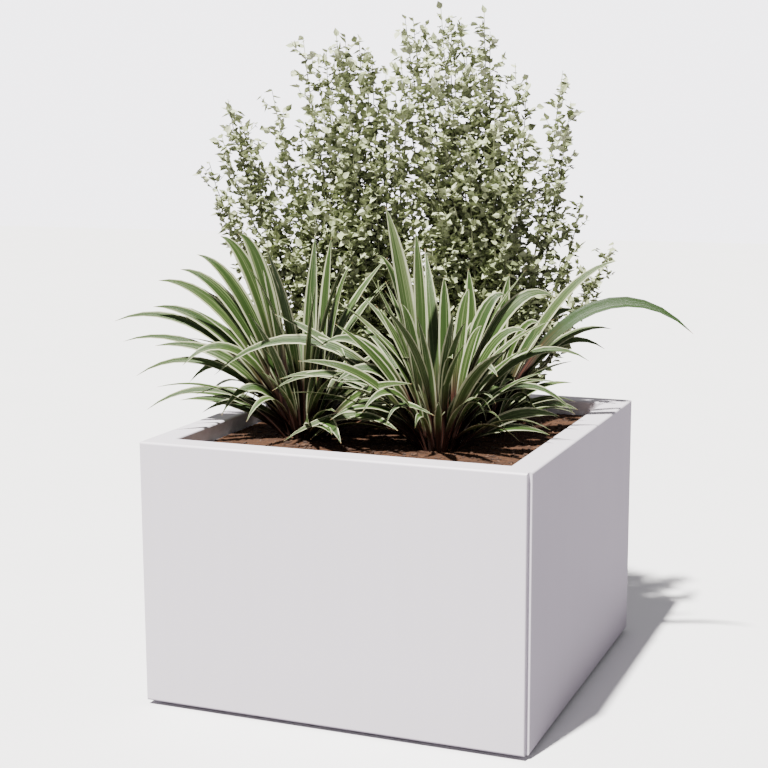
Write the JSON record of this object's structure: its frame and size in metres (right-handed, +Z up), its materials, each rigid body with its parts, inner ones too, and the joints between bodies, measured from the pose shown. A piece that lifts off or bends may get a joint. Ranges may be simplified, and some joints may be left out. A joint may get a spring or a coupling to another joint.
{
  "type": "planter box",
  "caption": "Square street planter of folded powder-coated sheet with a deep rim, levelling feet and a lift-out planted liner.",
  "frame": {"origin": "on the ground under the centre of the box", "axes": "+Z up, front along -Y, right side along +X"},
  "size_m": [1.2392, 0.9, 1.5601],
  "materials": {
    "powder_coat": "satin powder coat",
    "frame_galvanised": "hot-dip galvanised",
    "zinc_plated": "bright zinc plate",
    "liner_galvanised": "galvanised",
    "gravel": "rough",
    "filter_fabric": "needle-punched felt",
    "soil": "rough",
    "flax_leaf": "satin leaf",
    "shrub_wood": "satin leaf"
  },
  "bodies": {
    "shell": {"front_left_shell": "powder_coat", "back_right_shell": "powder_coat", "panel_stiffener_front": "frame_galvanised", "panel_stiffener_back": "frame_galvanised", "panel_stiffener_left": "frame_galvanised", "panel_stiffener_right": "frame_galvanised", "base_rail_front": "frame_galvanised", "base_rail_back": "frame_galvanised", "base_rail_left": "frame_galvanised", "base_rail_right": "frame_galvanised", "base_bearer_left": "frame_galvanised", "base_bearer_right": "frame_galvanised", "foot_bushes": "frame_galvanised", "corner_bolts": "zinc_plated", "corner_clinch_nuts": "zinc_plated", "base_bolts": "zinc_plated", "base_rivet_nuts": "zinc_plated", "corner_angle_front_right": "frame_galvanised", "corner_angle_back_left": "frame_galvanised", "foot_plate_front_right": "frame_galvanised", "anchor_tab_front_right": "frame_galvanised", "foot_plate_front_left": "frame_galvanised", "anchor_tab_front_left": "frame_galvanised", "foot_plate_back_right": "frame_galvanised", "anchor_tab_back_right": "frame_galvanised", "foot_plate_back_left": "frame_galvanised", "anchor_tab_back_left": "frame_galvanised"},
    "planting_insert": {"liner": "liner_galvanised", "drainage_gravel": "gravel", "filter_fabric": "filter_fabric", "soil": "soil", "flax_left": "flax_leaf", "flax_right": "flax_leaf", "flax_rear": "flax_leaf", "shrub_left": "shrub_wood", "shrub_right": "shrub_wood", "lifting_lug_front_right": "liner_galvanised", "lifting_lug_front_left": "liner_galvanised", "lifting_lug_back_right": "liner_galvanised", "lifting_lug_back_left": "liner_galvanised"},
    "pad_front_right": {"foot_pad_front_right": "zinc_plated"},
    "stud_front_right": {"foot_stud_front_right": "zinc_plated", "foot_locknut_front_right": "zinc_plated"},
    "pad_front_left": {"foot_pad_front_left": "zinc_plated"},
    "stud_front_left": {"foot_stud_front_left": "zinc_plated", "foot_locknut_front_left": "zinc_plated"},
    "pad_back_right": {"foot_pad_back_right": "zinc_plated"},
    "stud_back_right": {"foot_stud_back_right": "zinc_plated", "foot_locknut_back_right": "zinc_plated"},
    "pad_back_left": {"foot_pad_back_left": "zinc_plated"},
    "stud_back_left": {"foot_stud_back_left": "zinc_plated", "foot_locknut_back_left": "zinc_plated"}
  },
  "joints": [
    {"name": "liner_lift", "type": "slide", "parent": "shell", "child": "planting_insert", "axis": [0, 0, 1], "range_m": [0, 0.55]},
    {"name": "foot_travel_front_right", "type": "slide", "parent": "shell", "child": "pad_front_right", "axis": [0, 0, 1], "range_m": [-0.015, 0]},
    {"name": "foot_turn_front_right", "type": "hinge", "parent": "pad_front_right", "child": "stud_front_right", "pos_m": [0.335, -0.335, 0], "axis": [0, 0, 1], "range_deg": [-3100, 0]},
    {"name": "foot_travel_front_left", "type": "slide", "parent": "shell", "child": "pad_front_left", "axis": [0, 0, 1], "range_m": [-0.015, 0]},
    {"name": "foot_turn_front_left", "type": "hinge", "parent": "pad_front_left", "child": "stud_front_left", "pos_m": [-0.335, -0.335, 0], "axis": [0, 0, 1], "range_deg": [-3100, 0]},
    {"name": "foot_travel_back_right", "type": "slide", "parent": "shell", "child": "pad_back_right", "axis": [0, 0, 1], "range_m": [-0.015, 0]},
    {"name": "foot_turn_back_right", "type": "hinge", "parent": "pad_back_right", "child": "stud_back_right", "pos_m": [0.335, 0.335, 0], "axis": [0, 0, 1], "range_deg": [-3100, 0]},
    {"name": "foot_travel_back_left", "type": "slide", "parent": "shell", "child": "pad_back_left", "axis": [0, 0, 1], "range_m": [-0.015, 0]},
    {"name": "foot_turn_back_left", "type": "hinge", "parent": "pad_back_left", "child": "stud_back_left", "pos_m": [-0.335, 0.335, 0], "axis": [0, 0, 1], "range_deg": [-3100, 0]}
  ],
  "couplings": [
    {"joint": "foot_turn_front_right", "follows": "foot_travel_front_right", "rad_per_m": 3590.4},
    {"joint": "foot_turn_front_left", "follows": "foot_travel_front_left", "rad_per_m": 3590.4},
    {"joint": "foot_turn_back_right", "follows": "foot_travel_back_right", "rad_per_m": 3590.4},
    {"joint": "foot_turn_back_left", "follows": "foot_travel_back_left", "rad_per_m": 3590.4}
  ]
}
